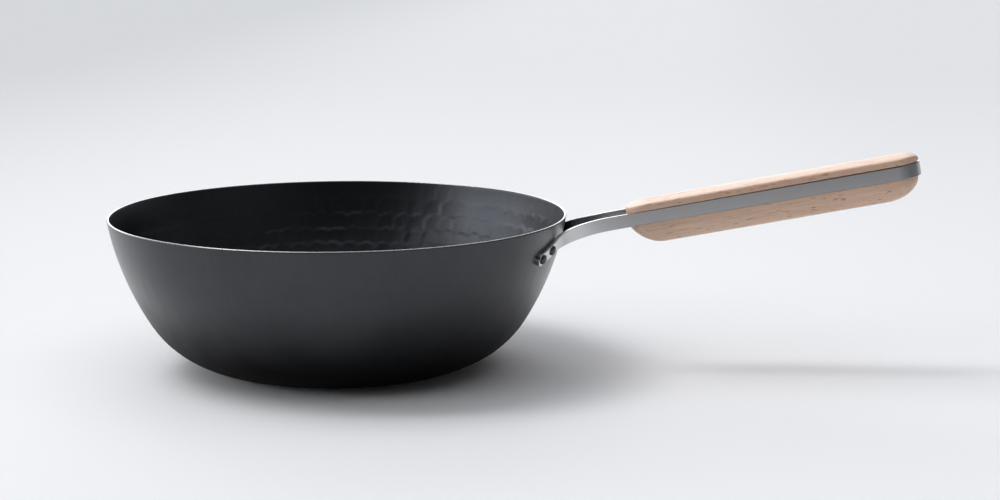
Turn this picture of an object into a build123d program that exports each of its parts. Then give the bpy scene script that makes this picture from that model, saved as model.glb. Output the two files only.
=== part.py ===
from build123d import *
from math import acos, cos, degrees, radians, sin, sqrt, tan
import os

# A flat-bottomed carbon steel wok with a riveted strap handle and a wooden grip.
# Millimetres, +Z up, origin at the centre of the base's underside, handle along +X.

# ---- bowl: its outside profile is a flat base and two tangent arcs -----------------------------
wall = 1.6
base_radius = 67.0
heel_radius = 67.0
heel_angle = 58.0
side_radius = 190.0
bowl_depth = 100.2

# ---- strap: one flat strip, bent round the grip and riveted to the wall ------------------------
strap_thickness = 2.5
strap_height = 8.5
handle_tilt = 11.0
neck_x = 182.4
neck_z = 98.5
neck_half_width = 13.0
loop_half_width = 13.5
loop_length = 196.3
lead_in = 10.0

# ---- tabs: the strip's ends, lying on the wall -------------------------------------------------
inner_rivet_azimuth = 14.3
outer_rivet_azimuth = 19.5
inner_rivet_depth = 15.6
tab_slope = 15.0
tab_leave_azimuth = 12.4
tab_end_margin = 5.3
tab_sink = 0.12
tab_reach = 8.0
neck_reach = 28.0

# ---- rivets ------------------------------------------------------------------------------------
rivet_shank_radius = 2.0
rivet_head_radius = 3.1
rivet_head_edge = 0.9
outer_head_height = 2.1
inner_head_height = 1.7
rivet_hole_gap = 0.05
head_sink = 0.06

# ---- grip: a slab above the strap, a core inside the loop, a hull below ------------------------
nose_radius = 20.0
corner_share = 0.4
slab_nose = 7.5
slab_side = 4.6
slab_crown = 1.1
slab_nose_drop = 2.4
slab_nose_sweep = 15.0
slab_rear_drop = 2.8
slab_rear_sweep = 8.0
slab_round = 1.2
slab_overhang = 0.3
slab_rear_inset = 0.5
hull_nose = 7.8
hull_inset = 0.2
hull_rear_inset = 2.1
hull_depth = 14.0
hull_levels = 8
front_sweep = 22.5
rear_sweep = 20.0
belly_half_width = 4.5
core_gap = 0.1
groove_gap_front = 0.15
groove_gap_rear = 0.7
crown_half_width = 20.0
crown_depth = 9.0
crown_turn = 60.0

os.makedirs("parts", exist_ok=True)

# ---- what follows from the bowl's arcs ---------------------------------------------------------
heel_end_x = base_radius + heel_radius * sin(radians(heel_angle))
heel_end_z = heel_radius * (1 - cos(radians(heel_angle)))
side_centre_x = heel_end_x - side_radius * sin(radians(heel_angle))
side_centre_z = heel_end_z + side_radius * cos(radians(heel_angle))
lip_z = bowl_depth - wall / 2
lip_angle = degrees(acos((side_centre_z - lip_z) / side_radius))


def wall_radius(z):
    """Outside radius of the wall's upper arc at height z."""
    return side_centre_x + sqrt(side_radius**2 - (side_centre_z - z) ** 2)


def tab_height(azimuth):
    """Height of a tab's centre line, which falls as it goes round the bowl."""
    run = radians(abs(azimuth) - inner_rivet_azimuth) * wall_radius(bowl_depth - inner_rivet_depth)
    return bowl_depth - inner_rivet_depth - run * tan(radians(tab_slope))


def tab_normal(azimuth):
    """The wall's outward normal at a tab's centre line."""
    z = tab_height(azimuth)
    outwards = (wall_radius(z) - side_centre_x) / side_radius
    downwards = (side_centre_z - z) / side_radius
    turn = radians(azimuth)
    return Vector(outwards * cos(turn), outwards * sin(turn), -downwards)


def tab_point(azimuth, offset=0.0):
    """A point on a tab's centre line, offset outwards from the wall."""
    z = tab_height(azimuth)
    turn = radians(azimuth)
    on_wall = Vector(wall_radius(z) * cos(turn), wall_radius(z) * sin(turn), z)
    return on_wall + tab_normal(azimuth) * offset


def rivet_plane(azimuth):
    """Plane on the outside of the wall at a rivet, facing outwards."""
    return Plane(origin=tab_point(azimuth), x_dir=(0, 0, 1), z_dir=tab_normal(azimuth))


rivet_azimuths = {
    "rivet_left_inner": inner_rivet_azimuth,
    "rivet_left_outer": outer_rivet_azimuth,
    "rivet_right_inner": -inner_rivet_azimuth,
    "rivet_right_outer": -outer_rivet_azimuth,
}

# ---- bowl --------------------------------------------------------------------------------------
heel_centre = (base_radius, heel_radius)
side_centre = (side_centre_x, side_centre_z)
side_sweep = lip_angle - heel_angle

with BuildPart() as bowl:
    with BuildSketch(Plane.XZ):
        with BuildLine():
            Line((0, 0), (base_radius, 0))
            CenterArc(heel_centre, heel_radius, -90, heel_angle)
            side = CenterArc(side_centre, side_radius, heel_angle - 90, side_sweep)
            inside = CenterArc(side_centre, side_radius - wall, lip_angle - 90, -side_sweep)
            CenterArc(heel_centre, heel_radius - wall, heel_angle - 90, -heel_angle)
            TangentArc(side @ 1, inside @ 0, tangent=side % 1)
            Polyline((base_radius, wall), (0, wall), (0, 0))
        make_face()
    revolve(axis=Axis.Z)
    for azimuth in rivet_azimuths.values():
        with BuildSketch(rivet_plane(azimuth)):
            Circle(rivet_shank_radius + rivet_hole_gap)
        extrude(amount=2 * wall, both=True, mode=Mode.SUBTRACT)

# the bowl filled in: cutting it away seats whatever lies on the outside of the wall
with BuildPart() as bowl_envelope:
    with BuildSketch(Plane.XZ):
        with BuildLine():
            Line((0, 0), (base_radius, 0))
            CenterArc(heel_centre, heel_radius, -90, heel_angle)
            CenterArc(side_centre, side_radius, heel_angle - 90, side_sweep)
            Polyline(side @ 1, (0, lip_z), (0, 0))
        make_face()
    revolve(axis=Axis.Z)

# ---- the handle's own plane: x runs along the handle, z is square to it ------------------------
tilt = radians(handle_tilt)
handle_axis = Vector(cos(tilt), 0, sin(tilt))
handle_up = Vector(-sin(tilt), 0, cos(tilt))
handle_plane = Plane(origin=(neck_x, 0, neck_z), x_dir=handle_axis, z_dir=handle_up)


def handle_point(along, across=0.0, above=0.0):
    """A point given in the handle's own plane."""
    return handle_plane.from_local_coords(Vector(along, across, above))


# ---- stations of the strip's left arm, from the tab's end to the straight run ------------------
strip_offset = strap_thickness / 2 - tab_sink
tab_end_azimuth = outer_rivet_azimuth + degrees(tab_end_margin / wall_radius(bowl_depth))
tab_station_count = 5
arm_station_count = 8
small_turn = 0.01

tab_stations = []
for k in range(tab_station_count):
    share = k / (tab_station_count - 1)
    azimuth = tab_end_azimuth + (tab_leave_azimuth - tab_end_azimuth) * share
    here = tab_point(azimuth, strip_offset)
    direction = (tab_point(azimuth - small_turn, strip_offset) - here).normalized()
    tab_stations.append((here, direction, direction.cross(tab_normal(azimuth))))

leave_point, leave_direction, leave_up = tab_stations[-1]
neck_point = handle_point(0, neck_half_width)
with BuildLine() as arm_line:
    Bezier(
        leave_point,
        leave_point + leave_direction * tab_reach,
        neck_point - handle_axis * neck_reach,
        neck_point,
    )

arm_stations = []
for k in range(arm_station_count):
    t = (k + 1) / arm_station_count
    ease = t * t * (3 - 2 * t)
    upward = leave_up * (1 - ease) + handle_up * ease
    arm_stations.append((arm_line.line @ t, arm_line.line % t, upward))
arm_stations.append((handle_point(lead_in, neck_half_width), handle_axis, handle_up))

tab_end_plane = Plane(
    origin=tab_stations[0][0], x_dir=tab_stations[0][1], z_dir=tab_normal(tab_end_azimuth)
)
tab_round = strap_height / 2
bend_x = loop_length - loop_half_width - strap_thickness / 2

with BuildPart() as handle_strap:
    # the twisted arm, lofted through a rectangle at each station
    for place, direction, upward in tab_stations + arm_stations:
        with BuildSketch(Plane(origin=place, x_dir=upward, z_dir=direction)):
            Rectangle(strap_height, strap_thickness)
    loft()
    # round the tab's end
    with BuildSketch(tab_end_plane):
        Rectangle(2 * tab_round, 3 * strap_height)
        with Locations((tab_round, 0)):
            Circle(tab_round, mode=Mode.SUBTRACT)
    extrude(amount=2 * strap_thickness, both=True, mode=Mode.SUBTRACT)
    for azimuth in (inner_rivet_azimuth, outer_rivet_azimuth):
        with BuildSketch(rivet_plane(azimuth)):
            Circle(rivet_shank_radius + rivet_hole_gap)
        extrude(amount=2 * strap_thickness, both=True, mode=Mode.SUBTRACT)
    mirror(about=Plane.XZ)
    # the loop round the grip
    with BuildSketch(handle_plane):
        with BuildLine():
            Line((lead_in, -neck_half_width), (bend_x, -loop_half_width))
            CenterArc((bend_x, 0), loop_half_width, -90, 180)
            Line((bend_x, loop_half_width), (lead_in, neck_half_width))
        trace(line_width=strap_thickness)
    extrude(amount=strap_height / 2, both=True)
    add(bowl_envelope.part, mode=Mode.SUBTRACT)

# ---- grip --------------------------------------------------------------------------------------
slab_rear = loop_length - slab_rear_inset
slab_half_width = loop_half_width + strap_thickness / 2 + slab_overhang
slab_top = strap_height / 2 + slab_side + slab_crown
cross_radius = (slab_half_width**2 + slab_crown**2) / (2 * slab_crown)
crown_edge = sqrt(cross_radius**2 - crown_half_width**2) - cross_radius


def crown_plane(along):
    """Plane across the handle with its origin in the middle of the slab's top."""
    return Plane(origin=handle_point(along, 0, slab_top), x_dir=(0, 1, 0), z_dir=handle_axis)


with BuildSketch() as crown_profile:
    with BuildLine():
        ThreePointArc((-crown_half_width, crown_edge), (0, 0), (crown_half_width, crown_edge))
        Polyline(
            (crown_half_width, crown_edge),
            (crown_half_width, -crown_depth),
            (-crown_half_width, -crown_depth),
            (-crown_half_width, crown_edge),
        )
    make_face()

nose_joint = slab_nose + slab_nose_sweep
rear_joint = slab_rear - slab_rear_sweep
nose_bend = (nose_joint, slab_nose_sweep, slab_nose_drop, -1)
rear_bend = (rear_joint, slab_rear_sweep, slab_rear_drop, 1)

# a bar crowned across the handle, its ends bent down
with BuildPart() as crown:
    extrude(crown_plane(nose_joint) * crown_profile.sketch, amount=rear_joint - nose_joint)
    for joint, reach, drop, turn in (nose_bend, rear_bend):
        bend_radius = (reach**2 + drop**2) / (2 * drop)
        revolve(
            crown_plane(joint) * crown_profile.sketch,
            axis=Axis(handle_point(joint, 0, slab_top - bend_radius), (0, turn, 0)),
            revolution_arc=crown_turn,
        )

roof_slope = (groove_gap_rear - groove_gap_front) / loop_length
roof_plane = Plane(
    origin=handle_point(0, 0, strap_height / 2 + groove_gap_front),
    x_dir=handle_axis + handle_up * roof_slope,
    z_dir=handle_up - handle_axis * roof_slope,
)

hull_rear = loop_length - hull_rear_inset
hull_half_width = loop_half_width + strap_thickness / 2 - hull_inset
front_radius = (front_sweep**2 + hull_depth**2) / (2 * hull_depth)
core_inset = strap_thickness / 2 + core_gap

with BuildPart() as grip:
    # slab above the strap, its top cut to the crown and its underside to the groove's roof
    with BuildSketch(handle_plane):
        with BuildLine():
            nose_end = slab_nose + nose_radius - sqrt(nose_radius**2 - slab_half_width**2)
            rear_centre = slab_rear - slab_half_width
            ThreePointArc((nose_end, slab_half_width), (slab_nose, 0), (nose_end, -slab_half_width))
            Line((nose_end, -slab_half_width), (rear_centre, -slab_half_width))
            CenterArc((rear_centre, 0), slab_half_width, -90, 180)
            Line((rear_centre, slab_half_width), (nose_end, slab_half_width))
        make_face()
        fillet(vertices().group_by(Axis.X)[0], radius=corner_share * slab_half_width)
    extrude(amount=2 * slab_top)
    add(crown.part, mode=Mode.INTERSECT)
    split(bisect_by=roof_plane, keep=Keep.TOP)
    long_edges = edges().filter_by(Axis(handle_point(0), handle_axis))
    fillet(long_edges.sort_by(Axis(handle_point(0), handle_up))[-2:], radius=slab_round)
    # core inside the loop
    with BuildSketch(handle_plane.offset(-strap_height / 2)):
        with BuildLine():
            core_front = neck_half_width - core_inset
            core_rear = loop_half_width - core_inset
            nose_end = slab_nose + nose_radius - sqrt(nose_radius**2 - core_front**2)
            ThreePointArc((nose_end, core_front), (slab_nose, 0), (nose_end, -core_front))
            Line((nose_end, -core_front), (bend_x, -core_rear))
            CenterArc((bend_x, 0), core_rear, -90, 180)
            Line((bend_x, core_rear), (nose_end, core_front))
        make_face()
        fillet(vertices().group_by(Axis.X)[0], radius=corner_share * core_front)
    extrude(amount=strap_height + slab_side / 2)
    # hull below the strap, lofted through its waterlines
    for k in range(hull_levels + 1):
        dive = radians(90 * k / hull_levels)
        left = hull_depth * (1 - sin(dive))
        half_width = belly_half_width + (hull_half_width - belly_half_width) * cos(dive)
        nose = hull_nose + front_sweep - sqrt(front_radius**2 - (front_radius - left) ** 2)
        nose_end = nose + nose_radius - sqrt(nose_radius**2 - half_width**2)
        rear_centre = hull_rear - rear_sweep * (1 - cos(dive)) - half_width
        with BuildSketch(handle_plane.offset(left - hull_depth - strap_height / 2)):
            with BuildLine():
                ThreePointArc((nose_end, half_width), (nose, 0), (nose_end, -half_width))
                Line((nose_end, -half_width), (rear_centre, -half_width))
                CenterArc((rear_centre, 0), half_width, -90, 180)
                Line((rear_centre, half_width), (nose_end, half_width))
            make_face()
            fillet(vertices().group_by(Axis.X)[0], radius=corner_share * half_width)
    loft()

# ---- rivets: a shank with a domed head outside the tab and another inside the bowl -------------
outer_seat = strap_thickness - tab_sink

for name, azimuth in rivet_azimuths.items():
    seat_plane = rivet_plane(azimuth)
    section_plane = Plane(
        origin=seat_plane.origin,
        x_dir=seat_plane.x_dir,
        z_dir=seat_plane.x_dir.cross(seat_plane.z_dir),
    )
    with BuildPart() as rivet:
        with BuildSketch(section_plane):
            with BuildLine():
                TangentArc(
                    (0, outer_seat + outer_head_height),
                    (rivet_head_radius, outer_seat + rivet_head_edge),
                    tangent=(1, 0),
                )
                Polyline(
                    (rivet_head_radius, outer_seat + rivet_head_edge),
                    (rivet_head_radius, outer_seat - head_sink),
                    (rivet_shank_radius, outer_seat - head_sink),
                    (rivet_shank_radius, head_sink - wall),
                    (rivet_head_radius, head_sink - wall),
                    (rivet_head_radius, -wall - rivet_head_edge),
                )
                TangentArc(
                    (0, -wall - inner_head_height),
                    (rivet_head_radius, -wall - rivet_head_edge),
                    tangent=(1, 0),
                )
                Line((0, -wall - inner_head_height), (0, outer_seat + outer_head_height))
            make_face()
        revolve(axis=Axis(seat_plane.origin, seat_plane.z_dir))
        add(handle_strap.part, mode=Mode.SUBTRACT)
        add(bowl.part, mode=Mode.SUBTRACT)
    rivet.part.label = name
    export_step(rivet.part, f"parts/{name}.step")

bowl.part.label = "bowl"
export_step(bowl.part, "parts/bowl.step")
handle_strap.part.label = "handle_strap"
export_step(handle_strap.part, "parts/handle_strap.step")
grip.part.label = "grip"
export_step(grip.part, "parts/grip.step")
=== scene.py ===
from math import acos, atan2, ceil, cos, degrees, hypot, pi, radians, sin, sqrt, tan
from random import Random

import bmesh
import bpy
from mathutils import Matrix, Vector


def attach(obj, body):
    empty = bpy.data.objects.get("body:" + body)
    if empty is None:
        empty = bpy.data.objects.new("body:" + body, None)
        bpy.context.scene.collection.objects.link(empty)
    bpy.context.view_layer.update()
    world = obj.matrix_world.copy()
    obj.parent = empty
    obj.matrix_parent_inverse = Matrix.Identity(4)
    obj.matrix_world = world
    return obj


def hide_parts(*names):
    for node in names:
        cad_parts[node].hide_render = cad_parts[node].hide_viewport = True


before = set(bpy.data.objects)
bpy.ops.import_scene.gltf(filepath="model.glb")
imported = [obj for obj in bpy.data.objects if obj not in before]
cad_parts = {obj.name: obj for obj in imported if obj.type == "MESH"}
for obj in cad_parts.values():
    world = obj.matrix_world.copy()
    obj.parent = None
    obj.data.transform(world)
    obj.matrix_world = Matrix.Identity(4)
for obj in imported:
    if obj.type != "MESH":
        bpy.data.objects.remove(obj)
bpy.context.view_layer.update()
mm = 0.001
print("frame loaded:", ", ".join(sorted(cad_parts)))


# a shader socket that can be used in plain arithmetic: each sign adds one Math node
class Wire:
    def __init__(self, recipe, socket):
        self.recipe = recipe
        self.socket = socket

    def maths(self, operation, first, second):
        return self.recipe.node("ShaderNodeMath", {"operation": operation}, {0: first, 1: second})

    def __add__(self, other):
        return self.maths("ADD", self, other)

    def __sub__(self, other):
        return self.maths("SUBTRACT", self, other)

    def __mul__(self, other):
        return self.maths("MULTIPLY", self, other)

    def __truediv__(self, other):
        return self.maths("DIVIDE", self, other)

    def __pow__(self, other):
        return self.maths("POWER", self, other)

    def __radd__(self, other):
        return self.maths("ADD", other, self)

    def __rsub__(self, other):
        return self.maths("SUBTRACT", other, self)

    def atLeast(self, other):
        return self.maths("MAXIMUM", self, other)


# one material, or the world: its nodes are added by name, with settings and sockets
class Recipe:
    def __init__(self, block):
        block.use_nodes = True
        self.block = block
        self.tree = block.node_tree
        self.tree.nodes.clear()

    def node(self, kind, settings=None, values=None, out=0):
        made = self.tree.nodes.new(kind)
        for key, value in (settings or {}).items():
            setattr(made, key, value)
        for key, value in (values or {}).items():
            socket = made.inputs[key]
            if isinstance(value, Wire):
                self.tree.links.new(value.socket, socket)
            else:
                socket.default_value = value
        return Wire(self, made.outputs[out])

    def blend(self, share, first, second):
        settings = {"data_type": "RGBA"}
        return self.node("ShaderNodeMix", settings, {0: share, 6: first, 7: second}, out=2)

    def spread(self, value, start, end):
        # 0 at the start, 1 at the end, smooth between
        settings = {"interpolation_type": "SMOOTHSTEP"}
        if start > end:
            values = {0: value, 1: end, 2: start, 3: 1.0, 4: 0.0}
        else:
            values = {0: value, 1: start, 2: end, 3: 0.0, 4: 1.0}
        return self.node("ShaderNodeMapRange", settings, values)

    def noise(self, vector, scale, detail, roughness=0.5):
        values = {"Vector": vector, "Scale": scale, "Detail": detail, "Roughness": roughness}
        return self.node("ShaderNodeTexNoise", None, values)

    def stretchedNoise(self, vector, scale, detail, roughness=0.5):
        stretched = self.node("ShaderNodeMapping", None, {"Vector": vector, "Scale": scale})
        return self.noise(stretched, 1.0, detail, roughness)

    def attribute(self, name):
        return self.node("ShaderNodeAttribute", {"attribute_name": name}, out=2)

    def objectPlace(self):
        return self.node("ShaderNodeTexCoord", out=3)

    def split(self, vector):
        parts = self.node("ShaderNodeSeparateXYZ", None, {0: vector}).socket.node
        return [Wire(self, output) for output in parts.outputs]

    def relief(self, height, look):
        values = {"Strength": look["relief"], "Distance": look["reliefDepth"], "Height": height}
        return self.node("ShaderNodeBump", None, values)

    def finish(self, kind, shader):
        output = self.tree.nodes.new(kind)
        self.tree.links.new(shader.socket, output.inputs["Surface"])
        return self.block

    def surface(self, sockets):
        shader = self.node("ShaderNodeBsdfPrincipled", None, sockets)
        return self.finish("ShaderNodeOutputMaterial", shader)


def rgb(red, green, blue):
    return (red, green, blue, 1.0)


def newRecipe(name):
    return Recipe(bpy.data.materials.new(name))


def toObject(bm, name, material, smooth=True):
    bmesh.ops.recalc_face_normals(bm, faces=bm.faces)
    mesh = bpy.data.meshes.new(name)
    bm.to_mesh(mesh)
    bm.free()
    for face in mesh.polygons:
        face.use_smooth = smooth
    mesh.materials.append(material)
    piece = bpy.data.objects.new(name, mesh)
    bpy.context.scene.collection.objects.link(piece)
    return piece


def newVerts(made):
    return [item for item in made["geom"] if isinstance(item, bmesh.types.BMVert)]


def newEdges(made):
    return [item for item in made["geom"] if isinstance(item, bmesh.types.BMEdge)]


# dark carbon steel: satin, slightly blue, under a thin burnt-on coat outside; darkened near the base
# with painted shade, and brightened on the lip with a painted highlight
steelLook = {
    "dark": (0.036, 0.0382, 0.0425),
    "light": (0.042, 0.0445, 0.0490),
    "insideDark": (0.036, 0.0382, 0.0435),
    "insideLight": (0.042, 0.0448, 0.0508),
    "paintedLipHighlight": (0.32, 0.32, 0.33),
    "paintedBaseShade": (0.006, 0.006, 0.0065),
    "baseShadeFrom": 66.0 * mm,
    "baseShadeTo": 12.0 * mm,
    "baseShadeWaver": 12.0 * mm,
    "outsideMetal": 1.0,
    "insideMetal": 0.80,
    "coat": 0.50,
    "coatRoughness": 0.28,
    "roughness": 0.37,
    "grainRoughness": 0.10,
    "streakRoughness": 0.06,
    "baseShadeRoughness": 0.35,
    "lipSmoother": 0.12,
    "insideSmoother": 0.05,
    "blotch": 22.0,
    "streak": (420.0, 420.0, 26.0),
    "streakShare": 0.3,
    "mottle": (0.36, 0.64),
    "ridgeHighlightShare": 0.35,
    "grain": 1500.0,
    "relief": 0.10,
    "reliefDepth": 0.2 * mm,
}


def carbonSteel():
    look = steelLook
    recipe = newRecipe("carbonSteel")
    place = recipe.objectPlace()
    height = recipe.split(place)[2]
    blotch = recipe.noise(place, look["blotch"], 3.0)
    streak = recipe.stretchedNoise(place, look["streak"], 2.0)
    grain = recipe.noise(place, look["grain"], 3.0, 0.6)
    ridgeHighlight = recipe.attribute("ridgeHighlight")
    lip = recipe.attribute("lip")
    outer = recipe.attribute("outer")
    cloud = blotch * (1 - look["streakShare"]) + streak * look["streakShare"]
    mottle = recipe.spread(cloud, *look["mottle"])
    outside = recipe.blend(mottle, rgb(*look["dark"]), rgb(*look["light"]))
    # painted shade: the outside is darkened towards the base, near the floor
    baseShadeShare = recipe.spread(height + (blotch - 0.5) * look["baseShadeWaver"], look["baseShadeFrom"], look["baseShadeTo"])
    outside = recipe.blend(baseShadeShare, outside, rgb(*look["paintedBaseShade"]))
    inside = recipe.blend(mottle, rgb(*look["insideDark"]), rgb(*look["insideLight"]))
    # painted highlight along the edges of the hammer marks
    inside = recipe.blend(ridgeHighlight * look["ridgeHighlightShare"], inside, rgb(*look["insideLight"]))
    base = recipe.blend(outer, inside, outside)
    # painted highlight: the rounded lip is given a pale colour
    base = recipe.blend(lip, base, rgb(*look["paintedLipHighlight"]))
    paintedBaseShade = baseShadeShare * outer
    roughness = look["roughness"] + (grain - 0.5) * look["grainRoughness"]
    roughness = roughness + (streak - 0.5) * look["streakRoughness"] - lip * look["lipSmoother"]
    roughness = roughness + (outer - 1.0) * look["insideSmoother"] + paintedBaseShade * look["baseShadeRoughness"]
    metallic = look["insideMetal"] + outer * (look["outsideMetal"] - look["insideMetal"])
    return recipe.surface({
        "Base Color": base,
        "Metallic": metallic.atLeast(paintedBaseShade).atLeast(lip),
        "Roughness": roughness,
        "Coat Weight": outer * (1.0 - baseShadeShare) * look["coat"],
        "Coat Roughness": look["coatRoughness"],
        "Normal": recipe.relief(grain, look),
    })


# satin stainless, fine brushed lines along the strip, bright on the arms and darker beside the grip with
# painted shade
strapLook = {
    "base": (0.52, 0.52, 0.525),
    "bright": (0.62, 0.62, 0.625),
    "paintedGripShade": (0.32, 0.31, 0.31),
    "paintedGripShadeBright": (0.41, 0.40, 0.40),
    "paintedGripShadeFrom": 42.0 * mm,
    "paintedGripShadeTo": 88.0 * mm,
    "alongScale": 60.0,
    "acrossScale": 6000.0,
    "cloud": 90.0,
    "roughness": 0.24,
    "brushedRoughness": 0.16,
    "cloudRoughness": 0.06,
    "relief": 0.12,
    "reliefDepth": 0.05 * mm,
}


def satinStainless():
    look = strapLook
    recipe = newRecipe("satinStainless")
    along = recipe.attribute("along") * look["alongScale"]
    across = recipe.attribute("across") * look["acrossScale"]
    place = recipe.node("ShaderNodeCombineXYZ", None, {0: along, 1: across})
    brushed = recipe.noise(place, 1.0, 3.0, 0.6)
    cloud = recipe.noise(recipe.objectPlace(), look["cloud"], 3.0)
    # painted shade: the strip darkens away from its ends, along the grip
    paintedGripShade = recipe.spread(recipe.attribute("reach"), look["paintedGripShadeFrom"], look["paintedGripShadeTo"])
    unshadedSteel = recipe.blend(brushed, rgb(*look["base"]), rgb(*look["bright"]))
    gripShadedSteel = recipe.blend(brushed, rgb(*look["paintedGripShade"]), rgb(*look["paintedGripShadeBright"]))
    roughness = look["roughness"] + (brushed - 0.5) * look["brushedRoughness"]
    return recipe.surface({
        "Base Color": recipe.blend(paintedGripShade, unshadedSteel, gripShadedSteel),
        "Metallic": 1.0,
        "Roughness": roughness + (cloud - 0.5) * look["cloudRoughness"],
        "Normal": recipe.relief(brushed, look),
    })


# rivet steel: bright heads inside the bowl; the heads outside are the same steel darkened with painted
# shade
rivetLook = {
    "base": (0.40, 0.40, 0.41),
    "bright": (0.55, 0.55, 0.56),
    "outerShadeBase": (0.060, 0.060, 0.063),
    "outerShadeBright": (0.110, 0.110, 0.115),
    "cloud": 700.0,
    "roughness": 0.30,
    "cloudRoughness": 0.2,
    "relief": 0.1,
    "reliefDepth": 0.1 * mm,
}


def rivetSteel():
    look = rivetLook
    recipe = newRecipe("rivetSteel")
    cloud = recipe.noise(recipe.objectPlace(), look["cloud"], 3.0)
    unshadedSteel = recipe.blend(cloud, rgb(*look["base"]), rgb(*look["bright"]))
    shadedHead = recipe.blend(cloud, rgb(*look["outerShadeBase"]), rgb(*look["outerShadeBright"]))
    return recipe.surface({
        # painted shade on the outer heads
        "Base Color": recipe.blend(recipe.attribute("outerHeadShade"), unshadedSteel, shadedHead),
        "Metallic": 1.0,
        "Roughness": look["roughness"] + (cloud - 0.5) * look["cloudRoughness"],
        "Normal": recipe.relief(cloud, look),
    })


# pale beech, its grain along the handle: long soft streaks and short brown flecks
beechLook = {
    "pale": (0.76, 0.545, 0.42),
    "mid": (0.65, 0.435, 0.315),
    "dark": (0.46, 0.275, 0.185),
    "fleck": (0.24, 0.125, 0.075),
    "tilt": 11.0,
    "streakScale": (6.0, 90.0, 90.0),
    "streaks": (0.3, 0.7),
    "fineScale": (40.0, 1400.0, 1400.0),
    "fines": (0.50, 0.75),
    "fineShare": 0.55,
    "fleckScale": (150.0, 900.0, 900.0),
    "flecks": (0.62, 0.74),
    "fleckShare": 0.75,
    "paintedSideShade": 0.38,
    "crownEdge": (0.92, 0.45),
    "bellyEdge": (0.0, -0.35),
    "bellyShare": 0.9,
    "roughness": 0.46,
    "fineRoughness": 0.15,
    "streakRoughness": 0.08,
    "relief": 0.15,
    "reliefDepth": 0.1 * mm,
}


def beech():
    look = beechLook
    recipe = newRecipe("paleBeech")
    turn = (0.0, radians(look["tilt"]), 0.0)
    turned = recipe.node("ShaderNodeMapping", None, {"Vector": recipe.objectPlace(), "Rotation": turn})
    streak = recipe.stretchedNoise(turned, look["streakScale"], 4.0, 0.6)
    fine = recipe.stretchedNoise(turned, look["fineScale"], 2.0)
    fleck = recipe.stretchedNoise(turned, look["fleckScale"], 1.0)
    base = recipe.blend(recipe.spread(streak, *look["streaks"]), rgb(*look["pale"]), rgb(*look["mid"]))
    lines = recipe.spread(fine, *look["fines"]) * look["fineShare"]
    base = recipe.blend(lines, base, rgb(*look["dark"]))
    dashes = recipe.spread(fleck, *look["flecks"]) * look["fleckShare"]
    base = recipe.blend(dashes, base, rgb(*look["fleck"]))
    # painted shade: the upright sides are darkened, the crown and the belly left lighter
    upward = recipe.split(recipe.node("ShaderNodeNewGeometry", out=1))[2]
    belly = recipe.spread(upward, *look["bellyEdge"]) * look["bellyShare"]
    paintedSideShade = recipe.spread(upward, *look["crownEdge"]) * (1.0 - belly)
    base = recipe.blend(paintedSideShade * look["paintedSideShade"], base, rgb(*look["dark"]))
    roughness = look["roughness"] + (fine - 0.5) * look["fineRoughness"]
    return recipe.surface({
        "Base Color": base,
        "Roughness": roughness + (streak - 0.5) * look["streakRoughness"],
        "Normal": recipe.relief(fine, look),
    })


finishes = {
    "carbon_steel": carbonSteel(),
    "stainless_strap": satinStainless(),
    "rivet_steel": rivetSteel(),
    "beech": beech(),
}
print("materials made:", ", ".join(finishes))

# bowl: a hammered sheet, its profile a flat base and two tangent arcs with a round lip
bowlShape = {
    "wall": 1.6 * mm,
    "baseRadius": 67.0 * mm,
    "heelRadius": 67.0 * mm,
    "heelAngle": 58.0,
    "sideRadius": 190.0 * mm,
    "depth": 100.2 * mm,
    "doublings": 4,
    "sectorSteps": 35,
    "insideStep": 1.18 * mm,
    "outsideStep": 5.2 * mm,
    "floorSteps": 8,
    "lipSteps": 12,
    "lipHighlightFrom": 0.50 * mm,
    "lipHighlightOver": 0.20 * mm,
    "mergeWithin": 0.01 * mm,
}
# hammer marks: rows below the rim, each mark a shallow dish that overlaps the row above like a scale
markShape = {
    "firstRow": 11.1 * mm,
    "rowStep": 11.0 * mm,
    "spacing": 11.8 * mm,
    "radius": 8.2 * mm,
    "dish": 0.10 * mm,
    "lean": 0.27 * mm,
    "slant": 0.18 * mm,
    "faintRow": 0.3,
    "jitter": 0.7 * mm,
    "downJitter": 0.42 * mm,
    "sizeSpread": 0.06,
    "reachShare": 1.1,
    "dishSpread": 0.25,
    "leanSpread": 0.6,
    "rows": 12,
    "edgePower": 10,
    "edgeShare": 0.7,
    "outsideShare": 0.22,
    "outsideSink": 1.3,
    "outsideFrom": 14 * mm,
    "outsideOver": 14 * mm,
    "seed": 4,
}

wall = bowlShape["wall"]
heelTurn = radians(bowlShape["heelAngle"])
heelCentre = Vector((bowlShape["baseRadius"], 0, bowlShape["heelRadius"]))
heelEnd = Vector(
    (
        bowlShape["baseRadius"] + bowlShape["heelRadius"] * sin(heelTurn),
        0,
        bowlShape["heelRadius"] * (1 - cos(heelTurn)),
    )
)
sideCentre = heelEnd + bowlShape["sideRadius"] * Vector((-sin(heelTurn), 0, cos(heelTurn)))
lipHeight = bowlShape["depth"] - wall / 2
lipTurn = acos((sideCentre.z - lipHeight) / bowlShape["sideRadius"])
insideSideRadius = bowlShape["sideRadius"] - wall
insideHeelRadius = bowlShape["heelRadius"] - wall


def wallRadius(height):
    return sideCentre.x + sqrt(bowlShape["sideRadius"] ** 2 - (sideCentre.z - height) ** 2)


def wallRun(x, z):
    # how far down the wall a point of the profile lies, measured from the rim
    turn = atan2(x - sideCentre.x, sideCentre.z - z)
    if turn >= heelTurn:
        return (lipTurn - turn) * insideSideRadius
    turn = atan2(max(x - heelCentre.x, 0), heelCentre.z - z)
    return (lipTurn - heelTurn) * insideSideRadius + (heelTurn - turn) * insideHeelRadius


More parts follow.
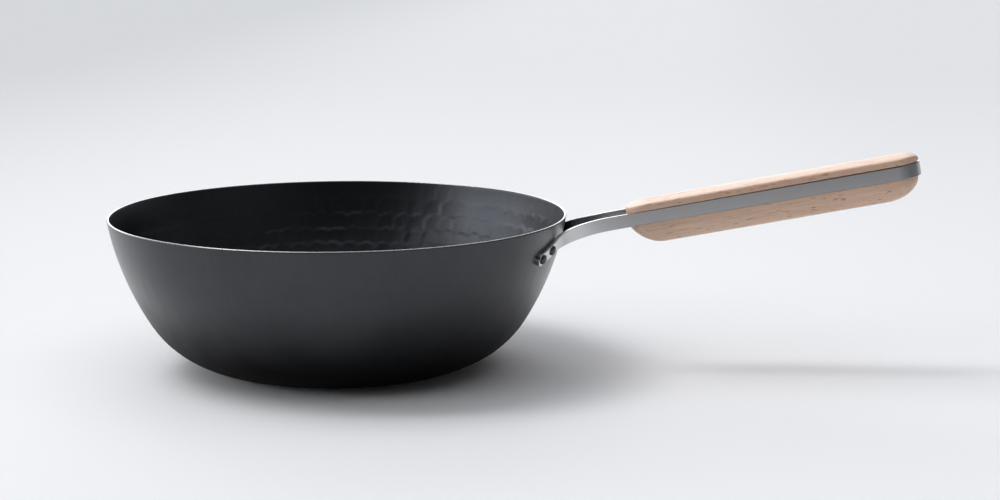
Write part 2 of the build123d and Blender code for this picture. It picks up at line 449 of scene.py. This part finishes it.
def runRadius(run):
    # distance from the bowl's axis of a point that far down the inside
    sideRun = (lipTurn - heelTurn) * insideSideRadius
    if run <= sideRun:
        return sideCentre.x + insideSideRadius * sin(lipTurn - run / insideSideRadius)
    return heelCentre.x + insideHeelRadius * sin(heelTurn - (run - sideRun) / insideHeelRadius)


def placeMarks():
    shape = markShape
    chance = Random(shape["seed"])

    def about(spread):
        return chance.uniform(1 - spread, 1 + spread)

    rows = []
    for row in range(shape["rows"]):
        run = shape["firstRow"] + shape["radius"] + (row - 1) * shape["rowStep"]
        radius = runRadius(run)
        count = round(2 * pi * radius / shape["spacing"])
        marks = []
        for number in range(count):
            around = (number + 0.5 * (row % 2)) * 2 * pi / count
            around += chance.uniform(-1, 1) * shape["jitter"] / radius
            down = run + chance.uniform(-1, 1) * shape["downJitter"]
            size = shape["radius"] * about(shape["sizeSpread"])
            share = 1.0 if row else shape["faintRow"]
            dish = shape["dish"] * about(shape["dishSpread"]) * share
            lean = shape["lean"] * about(shape["leanSpread"]) * share
            slant = shape["slant"] * chance.uniform(-1, 1) * share
            marks.append((around, down, size, dish, lean, slant))
        rows.append((run, count, marks))
    return rows


markRows = placeMarks()


def markDepth(around, run, radius):
    # depth of the hammer marks at one point, and how near it is to a mark's edge; each blow flattens
    # part of the one above it and of the one beside it, so the last to cover the point counts
    depth = 0.0
    edge = 0.0
    middle = round((run - markRows[0][0]) / markShape["rowStep"])
    for row in range(max(middle - 1, 0), min(middle + 2, len(markRows))):
        rowRun, count, marks = markRows[row]
        if abs(run - rowRun) > markShape["radius"] * markShape["reachShare"]:
            continue
        number = round(around / (2 * pi) * count - 0.5 * (row % 2))
        last = -1.0
        for step in (-1, 0, 1):
            markAround, down, size, dish, lean, slant = marks[(number + step) % count]
            across = (around - markAround + pi) % (2 * pi) - pi
            u = across * radius / size
            v = (run - down) / size
            away = u * u + v * v
            if away < 1 and u > last:
                last = u
                depth = max(dish * (1 - away) + lean * (0.5 + 0.5 * v) + slant * u, 0.0)
                edge = away ** markShape["edgePower"]
    return depth, edge


def buildBowl():
    shape = bowlShape
    bm = bmesh.new()
    bm.verts.new((0, 0, 0))
    bm.verts.ensure_lookup_table()
    axis = (0, 1, 0)

    def goOut(distance, steps):
        for step in range(steps):
            made = bmesh.ops.extrude_vert_indiv(bm, verts=[tip[0]])
            bmesh.ops.translate(bm, verts=made["verts"], vec=(distance / steps, 0, 0))
            tip[0] = made["verts"][0]

    def turnOn(centre, angle, steps):
        made = bmesh.ops.spin(
            bm, geom=[tip[0]], cent=centre, axis=axis, angle=angle, steps=steps, use_duplicate=False
        )
        tip[0] = next(item for item in made["geom_last"] if isinstance(item, bmesh.types.BMVert))

    tip = [bm.verts[0]]
    goOut(shape["baseRadius"], shape["floorSteps"])
    heelRun = shape["heelRadius"] * heelTurn
    sideRun = shape["sideRadius"] * (lipTurn - heelTurn)
    turnOn(heelCentre, -heelTurn, ceil(heelRun / shape["outsideStep"]))
    turnOn(sideCentre, heelTurn - lipTurn, ceil(sideRun / shape["outsideStep"]))
    lipCentre = sideCentre + (shape["sideRadius"] - wall / 2) * Vector((sin(lipTurn), 0, -cos(lipTurn)))
    turnOn(lipCentre, -pi, shape["lipSteps"])
    turnOn(sideCentre, lipTurn - heelTurn, ceil(sideRun / shape["insideStep"]))
    turnOn(heelCentre, heelTurn, ceil(heelRun / shape["insideStep"]))
    goOut(-shape["baseRadius"], shape["floorSteps"])
    sector = 2 * pi / 2 ** shape["doublings"]
    bmesh.ops.spin(
        bm,
        geom=bm.verts[:] + bm.edges[:],
        cent=(0, 0, 0),
        axis=(0, 0, 1),
        angle=sector,
        steps=shape["sectorSteps"],
        use_duplicate=False,
    )
    for doubling in range(shape["doublings"]):
        made = bmesh.ops.duplicate(bm, geom=bm.verts[:] + bm.edges[:] + bm.faces[:])
        turn = Matrix.Rotation(sector * 2**doubling, 3, "Z")
        bmesh.ops.rotate(bm, verts=newVerts(made), cent=(0, 0, 0), matrix=turn)
    bmesh.ops.remove_doubles(bm, verts=bm.verts, dist=shape["mergeWithin"])
    return bm


def clamped(value):
    return min(1.0, max(0.0, value))


def hammer(bm):
    # mark the inside of the wall, faintly the outside too, and note where the painted highlights go, on
    # the lip and along the marks' edges
    shape = markShape
    ridgeHighlight = bm.verts.layers.float.new("ridgeHighlight")
    outer = bm.verts.layers.float.new("outer")
    lip = bm.verts.layers.float.new("lip")
    sink = (shape["dish"] + shape["lean"]) * shape["outsideSink"]
    flat = bowlShape["baseRadius"] + 0.1 * mm
    for vert in bm.verts:
        x, y, z = vert.co
        radius = hypot(x, y)
        # where the painted highlight on the lip goes
        vert[lip] = clamped((z - lipHeight - bowlShape["lipHighlightFrom"]) / bowlShape["lipHighlightOver"])
        vert[outer] = float(z < wall / 2)
        if radius <= flat or z > lipHeight:
            continue
        onSide = radius >= heelEnd.x - 1 * mm
        centre = sideCentre if onSide else heelCentre
        arc = bowlShape["sideRadius"] if onSide else bowlShape["heelRadius"]
        fromCentre = radius - centre.x
        outward = Vector((x / radius * fromCentre, y / radius * fromCentre, z - centre.z))
        depthIn = arc - outward.length
        outward.normalize()
        run = wallRun(radius, z)
        depth, edge = markDepth(atan2(y, x) % (2 * pi), run, radius)
        if depthIn > wall / 2:
            vert.co += outward * depth
            # painted highlight, strongest at a mark's edge
            vert[ridgeHighlight] = edge * shape["edgeShare"]
        else:
            vert[outer] = 1.0
            fade = clamped((run - shape["outsideFrom"]) / shape["outsideOver"])
            vert.co -= outward * (sink - depth) * shape["outsideShare"] * fade
    return bm


bowl = toObject(hammer(buildBowl()), "hammeredBowl", finishes["carbon_steel"])
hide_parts("bowl")
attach(bowl, "root")
print("bowl hammered:", len(bowl.data.polygons), "faces")

# strap: one flat strip on edge, its ends lying on the wall as tabs
strapShape = {
    "thickness": 2.5 * mm,
    "height": 8.5 * mm,
    "corner": 0.32 * mm,
    "cornerSteps": 3,
    "tilt": 11.0,
    "neck": Vector((182.4 * mm, 0, 98.5 * mm)),
    "neckHalfWidth": 13.0 * mm,
    "loopHalfWidth": 13.5 * mm,
    "loopLength": 196.3 * mm,
    "innerRivet": 14.3,
    "outerRivet": 19.5,
    "rivetDepth": 15.6 * mm,
    "tabSlope": 15.0,
    "tabLeave": 12.4,
    "tabEndMargin": 5.3 * mm,
    "tabSink": 0.12 * mm,
    "tabReach": 8.0 * mm,
    "neckReach": 28.0 * mm,
    "tabSteps": 14,
    "endSteps": 9,
    "armSteps": 48,
    "bendSteps": 40,
    "runSteps": 24,
}
handleAxis = Vector((cos(radians(strapShape["tilt"])), 0, sin(radians(strapShape["tilt"]))))
handleUp = Vector((-handleAxis.z, 0, handleAxis.x))


def handlePoint(along, across=0.0, above=0.0):
    return strapShape["neck"] + handleAxis * along + Vector((0, across, 0)) + handleUp * above


def tabHeight(azimuth):
    top = bowlShape["depth"] - strapShape["rivetDepth"]
    run = radians(azimuth - strapShape["innerRivet"]) * wallRadius(top)
    return top - run * tan(radians(strapShape["tabSlope"]))


def tabNormal(azimuth):
    z = tabHeight(azimuth)
    turn = radians(azimuth)
    flatPart = wallRadius(z) - sideCentre.x
    outward = Vector((flatPart * cos(turn), flatPart * sin(turn), z - sideCentre.z))
    return outward / bowlShape["sideRadius"]


def tabPoint(azimuth, offset=0.0):
    z = tabHeight(azimuth)
    turn = radians(azimuth)
    onWall = Vector((wallRadius(z) * cos(turn), wallRadius(z) * sin(turn), z))
    return onWall + tabNormal(azimuth) * offset


def tabStation(azimuth, share=1.0):
    shape = strapShape
    offset = shape["thickness"] / 2 - shape["tabSink"]
    small = 0.01
    direction = (tabPoint(azimuth - small, offset) - tabPoint(azimuth, offset)).normalized()
    return tabPoint(azimuth, offset), direction, direction.cross(tabNormal(azimuth)), share


def armStations():
    # the left arm, from the tab's round end to the straight run
    shape = strapShape
    tabRound = shape["height"] / 2
    toAzimuth = degrees(1 / wallRadius(bowlShape["depth"]))
    tabEnd = shape["outerRivet"] + shape["tabEndMargin"] * toAzimuth
    stations = []
    for step in range(shape["endSteps"]):
        turn = radians(10 + 80 * step / shape["endSteps"])
        stations.append(tabStation(tabEnd - tabRound * (1 - cos(turn)) * toAzimuth, sin(turn)))
    roundEnd = tabEnd - tabRound * toAzimuth
    for step in range(shape["tabSteps"] + 1):
        stations.append(tabStation(roundEnd + (shape["tabLeave"] - roundEnd) * step / shape["tabSteps"]))
    # from there to the neck the strip's middle follows one cubic curve, and it twists as it goes
    start, startDirection, startUp, share = stations[-1]
    end = handlePoint(0, shape["neckHalfWidth"])
    leave = start + startDirection * shape["tabReach"]
    arrive = end - handleAxis * shape["neckReach"]
    for step in range(1, shape["armSteps"] + 1):
        t = step / shape["armSteps"]
        rest = 1 - t
        place = start * rest**3 + leave * 3 * rest**2 * t + arrive * 3 * rest * t**2 + end * t**3
        direction = (leave - start) * rest**2 + (arrive - leave) * 2 * rest * t + (end - arrive) * t**2
        ease = t * t * (3 - 2 * t)
        upward = startUp * (1 - ease) + handleUp * ease
        stations.append((place, direction.normalized(), upward, 1.0))
    return stations


def loopStations():
    # the straight run and half of the bend round the grip's rear
    shape = strapShape
    bendX = shape["loopLength"] - shape["loopHalfWidth"] - shape["thickness"] / 2
    stations = []
    for step in range(1, shape["runSteps"] + 1):
        share = step / shape["runSteps"]
        half = shape["neckHalfWidth"] + (shape["loopHalfWidth"] - shape["neckHalfWidth"]) * share
        stations.append((handlePoint(bendX * share, half), handleAxis, handleUp, 1.0))
    for step in range(1, shape["bendSteps"] // 2 + 1):
        turn = pi * step / shape["bendSteps"]
        across = shape["loopHalfWidth"] * cos(turn)
        place = handlePoint(bendX + shape["loopHalfWidth"] * sin(turn), across)
        stations.append((place, handleAxis * cos(turn) - Vector((0, sin(turn), 0)), handleUp, 1.0))
    return stations


def mirrored(station):
    place, direction, upward, share = station
    flip = Vector((1, -1, 1))
    return place * flip, direction * flip * -1, upward * flip, share


def stationMatrix(station):
    place, direction, upward, share = station
    upward = (upward - direction * upward.dot(direction)).normalized()
    side = direction.cross(upward)
    made = Matrix.Identity(4)
    for column, vector in enumerate((side, upward * share, direction, place)):
        for row in range(3):
            made[row][column] = vector[row]
    return made


def buildStrap():
    shape = strapShape
    half = armStations() + loopStations()
    stations = half + [mirrored(station) for station in reversed(half[:-1])]
    bm = bmesh.new()
    along = bm.verts.layers.float.new("along")
    across = bm.verts.layers.float.new("across")
    reach = bm.verts.layers.float.new("reach")
    bmesh.ops.create_grid(bm, x_segments=1, y_segments=1, size=0.5)
    bmesh.ops.scale(bm, vec=(shape["thickness"], shape["height"], 1), verts=bm.verts)
    bmesh.ops.bevel(
        bm,
        geom=bm.verts[:],
        offset=shape["corner"],
        affect="VERTICES",
        segments=shape["cornerSteps"],
        profile=0.5,
        material=-1,
    )
    for vert in bm.verts:
        vert[across] = vert.co.y + vert.co.x * 2
    place = stationMatrix(stations[0])
    bmesh.ops.transform(bm, matrix=place, verts=bm.verts)
    face = bm.faces[:][0]
    run = 0.0
    for before, after in zip(stations, stations[1:]):
        made = bmesh.ops.extrude_discrete_faces(bm, faces=[face])
        face = made["faces"][0]
        nextPlace = stationMatrix(after)
        bmesh.ops.transform(bm, matrix=nextPlace @ place.inverted(), verts=face.verts)
        place = nextPlace
        run += (after[0] - before[0]).length
        for vert in face.verts:
            vert[along] = run
    openEdges = [edge for edge in bm.edges if len(edge.link_faces) == 1]
    bmesh.ops.edgeloop_fill(bm, edges=openEdges)
    for vert in bm.verts:
        vert[reach] = min(vert[along], run - vert[along])
    return bm


def weighNormals(piece):
    modifier = piece.modifiers.new("flatFaces", "WEIGHTED_NORMAL")
    modifier.mode = "FACE_AREA"
    modifier.weight = 50
    modifier.keep_sharp = True


strap = toObject(buildStrap(), "handleStrap", finishes["stainless_strap"])
weighNormals(strap)
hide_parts("handle_strap")
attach(strap, "root")
print("strap bent:", len(strap.data.polygons), "faces")

# rivets: a domed head outside the tab, a lower one inside the bowl
rivetShape = {
    "headRadius": 3.1 * mm,
    "shankRadius": 2.0 * mm,
    "outerHeight": 2.1 * mm,
    "innerHeight": 1.7 * mm,
    "edge": 0.9 * mm,
    "edgeRound": 0.25 * mm,
    "sink": 0.06 * mm,
    "mergeWithin": 0.005 * mm,
    "domeSteps": 10,
    "edgeSteps": 3,
    "around": 48,
}


def buildHead(bm, seat, height, towards):
    # a dome on a short straight edge, its axis along Z
    shape = rivetShape
    rise = height - shape["edge"]
    domeRadius = (shape["headRadius"] ** 2 + rise**2) / (2 * rise)
    domeTurn = acos(1 - rise / domeRadius)
    top = bm.verts.new((0, 0, seat + towards * height))
    centre = (0, 0, seat + towards * (height - domeRadius))
    made = bmesh.ops.spin(
        bm,
        geom=[top],
        cent=centre,
        axis=(0, 1, 0),
        angle=towards * domeTurn,
        steps=shape["domeSteps"],
        use_duplicate=False,
    )
    edgeTop = next(item for item in made["geom_last"] if isinstance(item, bmesh.types.BMVert))
    made = bmesh.ops.extrude_vert_indiv(bm, verts=[edgeTop])
    edgeFoot = made["verts"][0]
    edgeFoot.co.z = seat
    made = bmesh.ops.extrude_vert_indiv(bm, verts=[edgeFoot])
    shankFoot = made["verts"][0]
    shankFoot.co.x = shape["shankRadius"]
    bmesh.ops.bevel(
        bm,
        geom=[edgeTop],
        offset=shape["edgeRound"],
        affect="VERTICES",
        segments=shape["edgeSteps"],
        profile=0.5,
        material=-1,
    )
    return shankFoot


def buildRivet(azimuth):
    shape = rivetShape
    bm = bmesh.new()
    tabFace = strapShape["thickness"] - strapShape["tabSink"]
    outerFoot = buildHead(bm, tabFace - shape["sink"], shape["outerHeight"], 1)
    innerFoot = buildHead(bm, shape["sink"] - wall, shape["innerHeight"], -1)
    bm.edges.new((outerFoot, innerFoot))
    bmesh.ops.spin(
        bm,
        geom=bm.verts[:] + bm.edges[:],
        cent=(0, 0, 0),
        axis=(0, 0, 1),
        angle=2 * pi,
        steps=shape["around"],
        use_merge=True,
        use_duplicate=False,
    )
    bmesh.ops.remove_doubles(bm, verts=bm.verts, dist=shape["mergeWithin"])
    outerHeadShade = bm.verts.layers.float.new("outerHeadShade")
    # the outer head gets the painted shade
    for vert in bm.verts:
        vert[outerHeadShade] = float(vert.co.z > 0)
    seat = tabNormal(abs(azimuth)).to_track_quat("Z", "Y").to_matrix().to_4x4()
    seat.translation = tabPoint(abs(azimuth))
    bmesh.ops.transform(bm, matrix=seat, verts=bm.verts)
    if azimuth < 0:
        bmesh.ops.scale(bm, vec=(1, -1, 1), verts=bm.verts)
    return bm


for node, azimuth in (
    ("rivet_left_inner", strapShape["innerRivet"]),
    ("rivet_left_outer", strapShape["outerRivet"]),
    ("rivet_right_inner", -strapShape["innerRivet"]),
    ("rivet_right_outer", -strapShape["outerRivet"]),
):
    rivet = toObject(buildRivet(azimuth), "domed_" + node, finishes["rivet_steel"])
    weighNormals(rivet)
    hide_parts(node)
    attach(rivet, "root")
print("rivets closed")

# grip: hull below the strap, core inside the loop, crowned slab above, all in one block
gripShape = {
    "noseRadius": 20.0 * mm,
    "cornerShare": 0.4,
    "slabNose": 7.5 * mm,
    "slabSide": 4.6 * mm,
    "slabCrown": 1.1 * mm,
    "noseDrop": 2.4 * mm,
    "noseSweep": 15.0 * mm,
    "rearDrop": 2.8 * mm,
    "rearSweep": 8.0 * mm,
    "slabRound": 1.2 * mm,
    "overhang": 0.3 * mm,
    "slabRearInset": 0.5 * mm,
    "hullNose": 7.8 * mm,
    "hullInset": 0.2 * mm,
    "hullRearInset": 2.1 * mm,
    "hullDepth": 14.0 * mm,
    "frontSweep": 22.5 * mm,
    "hullRearSweep": 20.0 * mm,
    "bellyHalfWidth": 4.5 * mm,
    "coreGap": 0.1 * mm,
    "gapFront": 0.15 * mm,
    "gapRear": 0.7 * mm,
    "edgeRound": 0.4 * mm,
    "hullEdgeTurns": (20, 45, 70, 90),
    "slabEdgeTurns": (90, 60, 30, 0),
    "slabRoundTurns": (0, 15, 30, 45, 60, 75, 90),
    "crownShares": (0.8, 0.6, 0.4, 0.2, 0.06),
    "crownBack": 0.5,
    "hullSteps": 18,
    "noseSteps": 10,
    "cornerSteps": 10,
    "sideSteps": 36,
    "rearSteps": 22,
}
halfHeight = strapShape["height"] / 2
outside = strapShape["loopHalfWidth"] + strapShape["thickness"] / 2
slabHalf = outside + gripShape["overhang"]
slabTop = halfHeight + gripShape["slabSide"] + gripShape["slabCrown"]
slabRear = strapShape["loopLength"] - gripShape["slabRearInset"]
crossRadius = (slabHalf**2 + gripShape["slabCrown"] ** 2) / (2 * gripShape["slabCrown"])


def gripOutline(nose, frontHalf, rearHalf, rearCentre):
    # one side of the grip seen from above: nose arc, rounded corner, straight side, half round rear
    shape = gripShape
    corner = shape["cornerShare"] * frontHalf
    noseCentre = nose + shape["noseRadius"]
    cornerX = noseCentre - sqrt((shape["noseRadius"] - corner) ** 2 - (frontHalf - corner) ** 2)
    meet = atan2(frontHalf - corner, noseCentre - cornerX)
    points = []
    for step in range(shape["noseSteps"]):
        turn = meet * step / shape["noseSteps"]
        points.append((noseCentre - shape["noseRadius"] * cos(turn), shape["noseRadius"] * sin(turn)))
    for step in range(shape["cornerSteps"]):
        turn = meet + (pi / 2 - meet) * step / shape["cornerSteps"]
        points.append((cornerX - corner * cos(turn), frontHalf - corner + corner * sin(turn)))
    for step in range(shape["sideSteps"]):
        share = step / shape["sideSteps"]
        half = frontHalf + (rearHalf - frontHalf) * share
        points.append((cornerX + (rearCentre - cornerX) * share, half))
    for step in range(shape["rearSteps"] + 1):
        turn = pi / 2 * step / shape["rearSteps"]
        points.append((rearCentre + rearHalf * sin(turn), rearHalf * cos(turn)))
    return points + [(x, -y) for x, y in reversed(points[1:-1])]


def roofHeight(x):
    slope = (gripShape["gapRear"] - gripShape["gapFront"]) / strapShape["loopLength"]
    return halfHeight + gripShape["gapFront"] + slope * x


def crownHeight(x, y):
    # the slab's top: crowned across, its ends bent down
    shape = gripShape
    sag = crossRadius - sqrt(crossRadius**2 - y**2)
    noseJoint = shape["slabNose"] + shape["noseSweep"]
    rearJoint = slabRear - shape["rearSweep"]
    for joint, reach, drop, over in (
        (noseJoint, shape["noseSweep"], shape["noseDrop"], noseJoint - x),
        (rearJoint, shape["rearSweep"], shape["rearDrop"], x - rearJoint),
    ):
        if over > 0:
            bend = (reach**2 + drop**2) / (2 * drop)
            return slabTop - bend + sqrt((bend - sag) ** 2 - over**2)
    return slabTop - sag


def gripRings():
    # every ring of the block from the keel up: its outline, and the height of each point
    shape = gripShape
    rings = []
    hullHalf = outside - shape["hullInset"]
    hullRear = strapShape["loopLength"] - shape["hullRearInset"]
    frontRadius = (shape["frontSweep"] ** 2 + shape["hullDepth"] ** 2) / (2 * shape["hullDepth"])

    def hullOutline(dive, inset):
        left = shape["hullDepth"] * (1 - sin(dive))
        half = shape["bellyHalfWidth"] + (hullHalf - shape["bellyHalfWidth"]) * cos(dive)
        nose = shape["hullNose"] + shape["frontSweep"] - sqrt(frontRadius**2 - (frontRadius - left) ** 2)
        rearCentre = hullRear - shape["hullRearSweep"] * (1 - cos(dive)) - half
        return gripOutline(nose + inset, half - inset, half - inset, rearCentre), left

    for step in range(shape["hullSteps"], 0, -1):
        outline, left = hullOutline(pi / 2 * step / shape["hullSteps"], 0)
        rings.append([(x, y, left - shape["hullDepth"] - halfHeight) for x, y in outline])
    for turn in shape["hullEdgeTurns"]:
        inset = shape["edgeRound"] * (1 - cos(radians(turn)))
        outline, left = hullOutline(0, inset)
        height = -halfHeight - shape["edgeRound"] * (1 - sin(radians(turn)))
        rings.append([(x, y, height) for x, y in outline])
    coreInset = strapShape["thickness"] / 2 + shape["coreGap"]
    bendX = strapShape["loopLength"] - outside
    coreFront = strapShape["neckHalfWidth"] - coreInset
    core = gripOutline(shape["slabNose"], coreFront, strapShape["loopHalfWidth"] - coreInset, bendX)
    rings.append([(x, y, -halfHeight) for x, y in core])
    rings.append([(x, y, roofHeight(x)) for x, y in core])
    rearCentre = slabRear - slabHalf
    for turn in shape["slabEdgeTurns"]:
        inset = shape["edgeRound"] * (1 - cos(radians(turn)))
        outline = gripOutline(shape["slabNose"] + inset, slabHalf - inset, slabHalf - inset, rearCentre)
        rise = shape["edgeRound"] * (1 - sin(radians(turn)))
        rings.append([(x, y, roofHeight(x) + rise) for x, y in outline])
    for turn in shape["slabRoundTurns"]:
        inset = shape["slabRound"] * (1 - cos(radians(turn)))
        outline = gripOutline(shape["slabNose"] + inset, slabHalf - inset, slabHalf - inset, rearCentre)
        fall = shape["slabRound"] * (1 - sin(radians(turn)))
        rings.append([(x, y, crownHeight(x, y) - fall) for x, y in outline])
    for share in shape["crownShares"]:
        half = (slabHalf - shape["slabRound"]) * share
        nose = shape["slabNose"] + shape["slabRound"] + (slabHalf - half) * shape["crownBack"]
        outline = gripOutline(nose, half, half, rearCentre)
        rings.append([(x, y, crownHeight(x, y)) for x, y in outline])
    return rings


def buildGrip():
    rings = gripRings()
    bm = bmesh.new()
    spoke = bm.verts.layers.int.new("spoke")
    made = bmesh.ops.create_circle(bm, segments=len(rings[0]), radius=mm)
    for number, vert in enumerate(made["verts"]):
        vert[spoke] = number
        vert.co = handlePoint(*rings[0][number])
    edges = bm.edges[:]
    bmesh.ops.edgeloop_fill(bm, edges=edges)
    for ring in rings[1:]:
        made = bmesh.ops.extrude_edge_only(bm, edges=edges)
        for vert in newVerts(made):
            vert.co = handlePoint(*ring[vert[spoke]])
        edges = [edge for edge in newEdges(made) if len(edge.link_faces) == 1]
    bmesh.ops.edgeloop_fill(bm, edges=edges)
    return bm


grip = toObject(buildGrip(), "beechGrip", finishes["beech"])
weighNormals(grip)
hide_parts("grip")
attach(grip, "root")
print("grip shaped:", len(grip.data.polygons), "faces")

# floor, world, lamps and camera; a pair of numbers is where a soft change starts and where it ends
studio = {
    "floorRadius": 26.0,
    "floorColour": (0.885, 0.888, 0.90),
    "floorShade": (0.435, 0.445, 0.465),
    "farShade": 0.24,
    "farFrom": (-0.3, 2.4),
    "leftShade": 0.28,
    "leftFrom": (-0.2, -1.1),
    "rightShade": 0.10,
    "rightFrom": (0.15, 0.55),
    "frontShade": 0.95,
    "frontFrom": (-0.45, -1.1),
    "floorDrop": 0.1 * mm,
    "skyColour": (0.80, 0.81, 0.84),
    "roomLevel": 0.05,
    "roomColour": (0.965, 0.985, 1.02),
    "overheadLevel": 0.66,
    "overheadEdge": (0.55, 0.85),
    "panelLevel": 3.3,
    "panelTowards": 148.0,
    "panelSides": (0.08, 0.66),
    "panelFoot": (0.0, 0.12),
    "panelTop": (0.52, 0.34),
    "rightLevel": 0.18,
    "rightSides": (0.3, 0.8),
    "backdropSide": (0.2, 0.6),
    "backdropTop": (0.10, 0.03),
    "keyPower": 0.72,
    "keySpread": 12.0,
    "keyAzimuth": 191.0,
    "keyHeights": (44.0, 52.0, 60.0, 68.0, 76.0),
    "fillSpread": 20.0,
    "fills": (
        (203.0, 22.0, 0.10),
        (175.0, 60.0, 0.32),
        (154.0, 58.0, 0.22),
        (115.0, 32.0, 0.22),
        (95.0, 30.0, 0.10),
        (225.0, 30.0, 0.12),
    ),
    "eye": Vector((0.2422, -1.2518, 0.3001)),
    "eyeTilt": 79.96,
    "eyeTurn": 6.17,
    "lens": 70.355,
    "sensor": 36.0,
    "clipEnd": 100.0,
}


def buildFloor():
    bm = bmesh.new()
    bmesh.ops.create_circle(bm, cap_ends=True, cap_tris=True, segments=96, radius=studio["floorRadius"])
    recipe = newRecipe("paleFloor")
    x, y, z = recipe.split(recipe.objectPlace())
    far = recipe.spread(y, *studio["farFrom"]) * studio["farShade"]
    left = recipe.spread(x, *studio["leftFrom"]) * studio["leftShade"]
    right = recipe.spread(x, *studio["rightFrom"]) * studio["rightShade"]
    front = recipe.spread(y, *studio["frontFrom"]) * studio["frontShade"]
    shade = far + left + right + front
    colour = recipe.blend(shade, rgb(*studio["floorColour"]), rgb(*studio["floorShade"]))
    material = recipe.surface({"Base Color": colour, "Roughness": 0.9, "Specular IOR Level": 0.0})
    floorPiece = toObject(bm, "paleFloor", material, smooth=False)
    floorPiece.location.z = -studio["floorDrop"]


def buildWorld():
    # a dim room: a pale ceiling, a bright panel curving low round the left and behind, and a weak
    # one on the right; the camera sees a plain pale backdrop instead
    world = bpy.data.worlds.new("paleStudio")
    bpy.context.scene.world = world
    recipe = Recipe(world)
    x, y, z = recipe.split(recipe.node("ShaderNodeTexCoord", out=0))
    level = (x * x + y * y + 0.0001) ** 0.5

    def towards(azimuth):
        return (x * cos(radians(azimuth)) + y * sin(radians(azimuth))) / level

    low = recipe.spread(z, *studio["panelFoot"]) * recipe.spread(z, *studio["panelTop"])
    panel = recipe.spread(towards(studio["panelTowards"]), *studio["panelSides"]) * studio["panelLevel"]
    right = recipe.spread(towards(0.0), *studio["rightSides"]) * studio["rightLevel"]
    ceiling = recipe.spread(z, *studio["overheadEdge"]) * studio["overheadLevel"]
    light = studio["roomLevel"] + ceiling + low * (panel + right)
    rays = recipe.node("ShaderNodeLightPath").socket.node
    camera = Wire(recipe, rays.outputs["Is Camera Ray"])
    glossy = Wire(recipe, rays.outputs["Is Glossy Ray"])
    through = Wire(recipe, rays.outputs["Is Transmission Ray"])
    backdrop = recipe.spread(y, *studio["backdropSide"]) * recipe.spread(z, *studio["backdropTop"])
    seen = camera + (glossy + through) * backdrop
    roomColour = rgb(*studio["roomColour"])
    room = recipe.node("ShaderNodeBackground", None, {"Color": roomColour, "Strength": light})
    skyColour = rgb(*studio["skyColour"])
    sky = recipe.node("ShaderNodeBackground", None, {"Color": skyColour, "Strength": 1.0})
    mixed = recipe.node("ShaderNodeMixShader", None, {0: seen, 1: room, 2: sky})
    recipe.finish("ShaderNodeOutputWorld", mixed)


def hangSun(name, azimuth, height, power, spread):
    flat, lift = radians(azimuth), radians(height)
    aim = Vector((cos(flat) * cos(lift), sin(flat) * cos(lift), sin(lift)))
    lamp = bpy.data.lights.new(name, "SUN")
    lamp.energy = power
    lamp.angle = radians(spread)
    lampPiece = bpy.data.objects.new(name, lamp)
    lampPiece.rotation_euler = aim.to_track_quat("Z", "Y").to_euler()
    bpy.context.scene.collection.objects.link(lampPiece)


def buildLights():
    # one tall soft key on the left, upright so that the handle's shadow stays thin, and fills behind it
    heights = studio["keyHeights"]
    for number, height in enumerate(heights):
        power = studio["keyPower"] / len(heights)
        hangSun(f"softKey{number}", studio["keyAzimuth"], height, power, studio["keySpread"])
    for number, (azimuth, height, power) in enumerate(studio["fills"]):
        hangSun(f"softFill{number}", azimuth, height, power, studio["fillSpread"])


def buildCamera():
    lens = bpy.data.cameras.new("camera")
    lens.lens = studio["lens"]
    lens.sensor_width = studio["sensor"]
    lens.clip_end = studio["clipEnd"]
    camera = bpy.data.objects.new("camera", lens)
    camera.location = studio["eye"]
    camera.rotation_euler = (radians(studio["eyeTilt"]), 0, radians(studio["eyeTurn"]))
    bpy.context.scene.collection.objects.link(camera)
    bpy.context.scene.camera = camera


buildFloor()
buildWorld()
buildLights()
buildCamera()
bpy.context.scene.view_settings.view_transform = "Standard"
print("floor, lights and camera placed")
